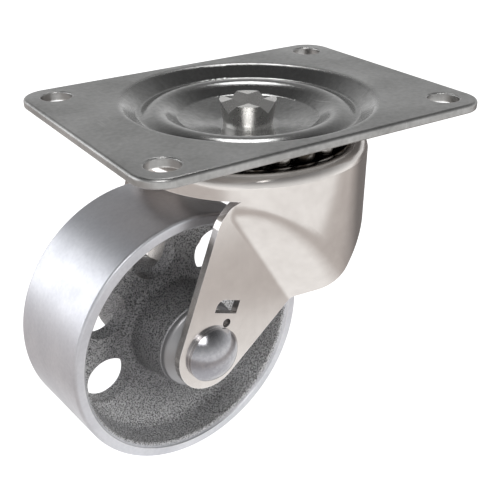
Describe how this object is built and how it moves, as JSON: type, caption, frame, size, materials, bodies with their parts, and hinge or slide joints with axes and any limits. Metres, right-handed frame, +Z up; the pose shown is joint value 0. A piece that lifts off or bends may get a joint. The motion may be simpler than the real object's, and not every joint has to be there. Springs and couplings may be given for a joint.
{
  "type": "swivel plate caster",
  "caption": "Swivel plate caster: pressed mounting plate, ball-bearing fork with a rear hood, riveted axle and a plain-tread cast wheel with round web holes.",
  "frame": {"origin": "centre of the mounting plate's top face, on the swivel axis", "axes": "+Z up out of the plate's top face; +X along the plate's long side, away from the wheel; +Y along the plate's short side"},
  "size_m": [0.1236, 0.0794, 0.0984],
  "materials": {
    "zinc_plate": "satin zinc-plated sheet",
    "kingpin_steel": "bright zinc-plated rivet",
    "race_steel": "turned steel",
    "ball_steel": "polished bearing steel",
    "bright_nickel": "bright nickel-plated pressing",
    "rivet_steel": "bright plated rivet",
    "cast_iron": "turned tread, sand-cast web"
  },
  "bodies": {
    "plate": {"mounting_plate": "zinc_plate", "kingpin": "kingpin_steel", "lower_race": "race_steel"},
    "fork": {"fork": "bright_nickel", "axle": "rivet_steel", "axle_sleeve": "race_steel"},
    "wheel": {"wheel_rim": "cast_iron", "wheel_web": "cast_iron", "wheel_hub": "cast_iron"},
    "upper_balls": {"upper_ball_01": "ball_steel", "upper_ball_02": "ball_steel", "upper_ball_03": "ball_steel", "upper_ball_04": "ball_steel", "upper_ball_05": "ball_steel", "upper_ball_06": "ball_steel", "upper_ball_07": "ball_steel", "upper_ball_08": "ball_steel", "upper_ball_09": "ball_steel", "upper_ball_10": "ball_steel", "upper_ball_11": "ball_steel", "upper_ball_12": "ball_steel", "upper_ball_13": "ball_steel", "upper_ball_14": "ball_steel", "upper_ball_15": "ball_steel", "upper_ball_16": "ball_steel", "upper_ball_17": "ball_steel", "upper_ball_18": "ball_steel", "upper_ball_19": "ball_steel", "upper_ball_20": "ball_steel", "upper_ball_21": "ball_steel", "upper_ball_22": "ball_steel", "upper_ball_23": "ball_steel", "upper_ball_24": "ball_steel"},
    "lower_balls": {"lower_ball_01": "ball_steel", "lower_ball_02": "ball_steel", "lower_ball_03": "ball_steel", "lower_ball_04": "ball_steel", "lower_ball_05": "ball_steel", "lower_ball_06": "ball_steel", "lower_ball_07": "ball_steel", "lower_ball_08": "ball_steel", "lower_ball_09": "ball_steel", "lower_ball_10": "ball_steel", "lower_ball_11": "ball_steel", "lower_ball_12": "ball_steel", "lower_ball_13": "ball_steel", "lower_ball_14": "ball_steel", "lower_ball_15": "ball_steel", "lower_ball_16": "ball_steel", "lower_ball_17": "ball_steel", "lower_ball_18": "ball_steel"}
  },
  "joints": [
    {"name": "fork_swivel", "type": "hinge", "parent": "plate", "child": "fork", "pos_m": [0, 0, 0], "axis": [0, 0, 1], "continuous": true},
    {"name": "wheel_spin", "type": "hinge", "parent": "fork", "child": "wheel", "pos_m": [-0.03138, -0.00275, -0.0603], "axis": [-0.0872, 0.9962, 0], "continuous": true},
    {"name": "upper_ball_orbit", "type": "hinge", "parent": "plate", "child": "upper_balls", "pos_m": [0, 0, -0.0082], "axis": [0, 0, 1], "continuous": true},
    {"name": "lower_ball_orbit", "type": "hinge", "parent": "plate", "child": "lower_balls", "pos_m": [0, 0, -0.01488], "axis": [0, 0, 1], "continuous": true}
  ],
  "couplings": [
    {"joint": "upper_ball_orbit", "follows": "fork_swivel", "ratio": 0.5},
    {"joint": "lower_ball_orbit", "follows": "fork_swivel", "ratio": 0.5}
  ]
}
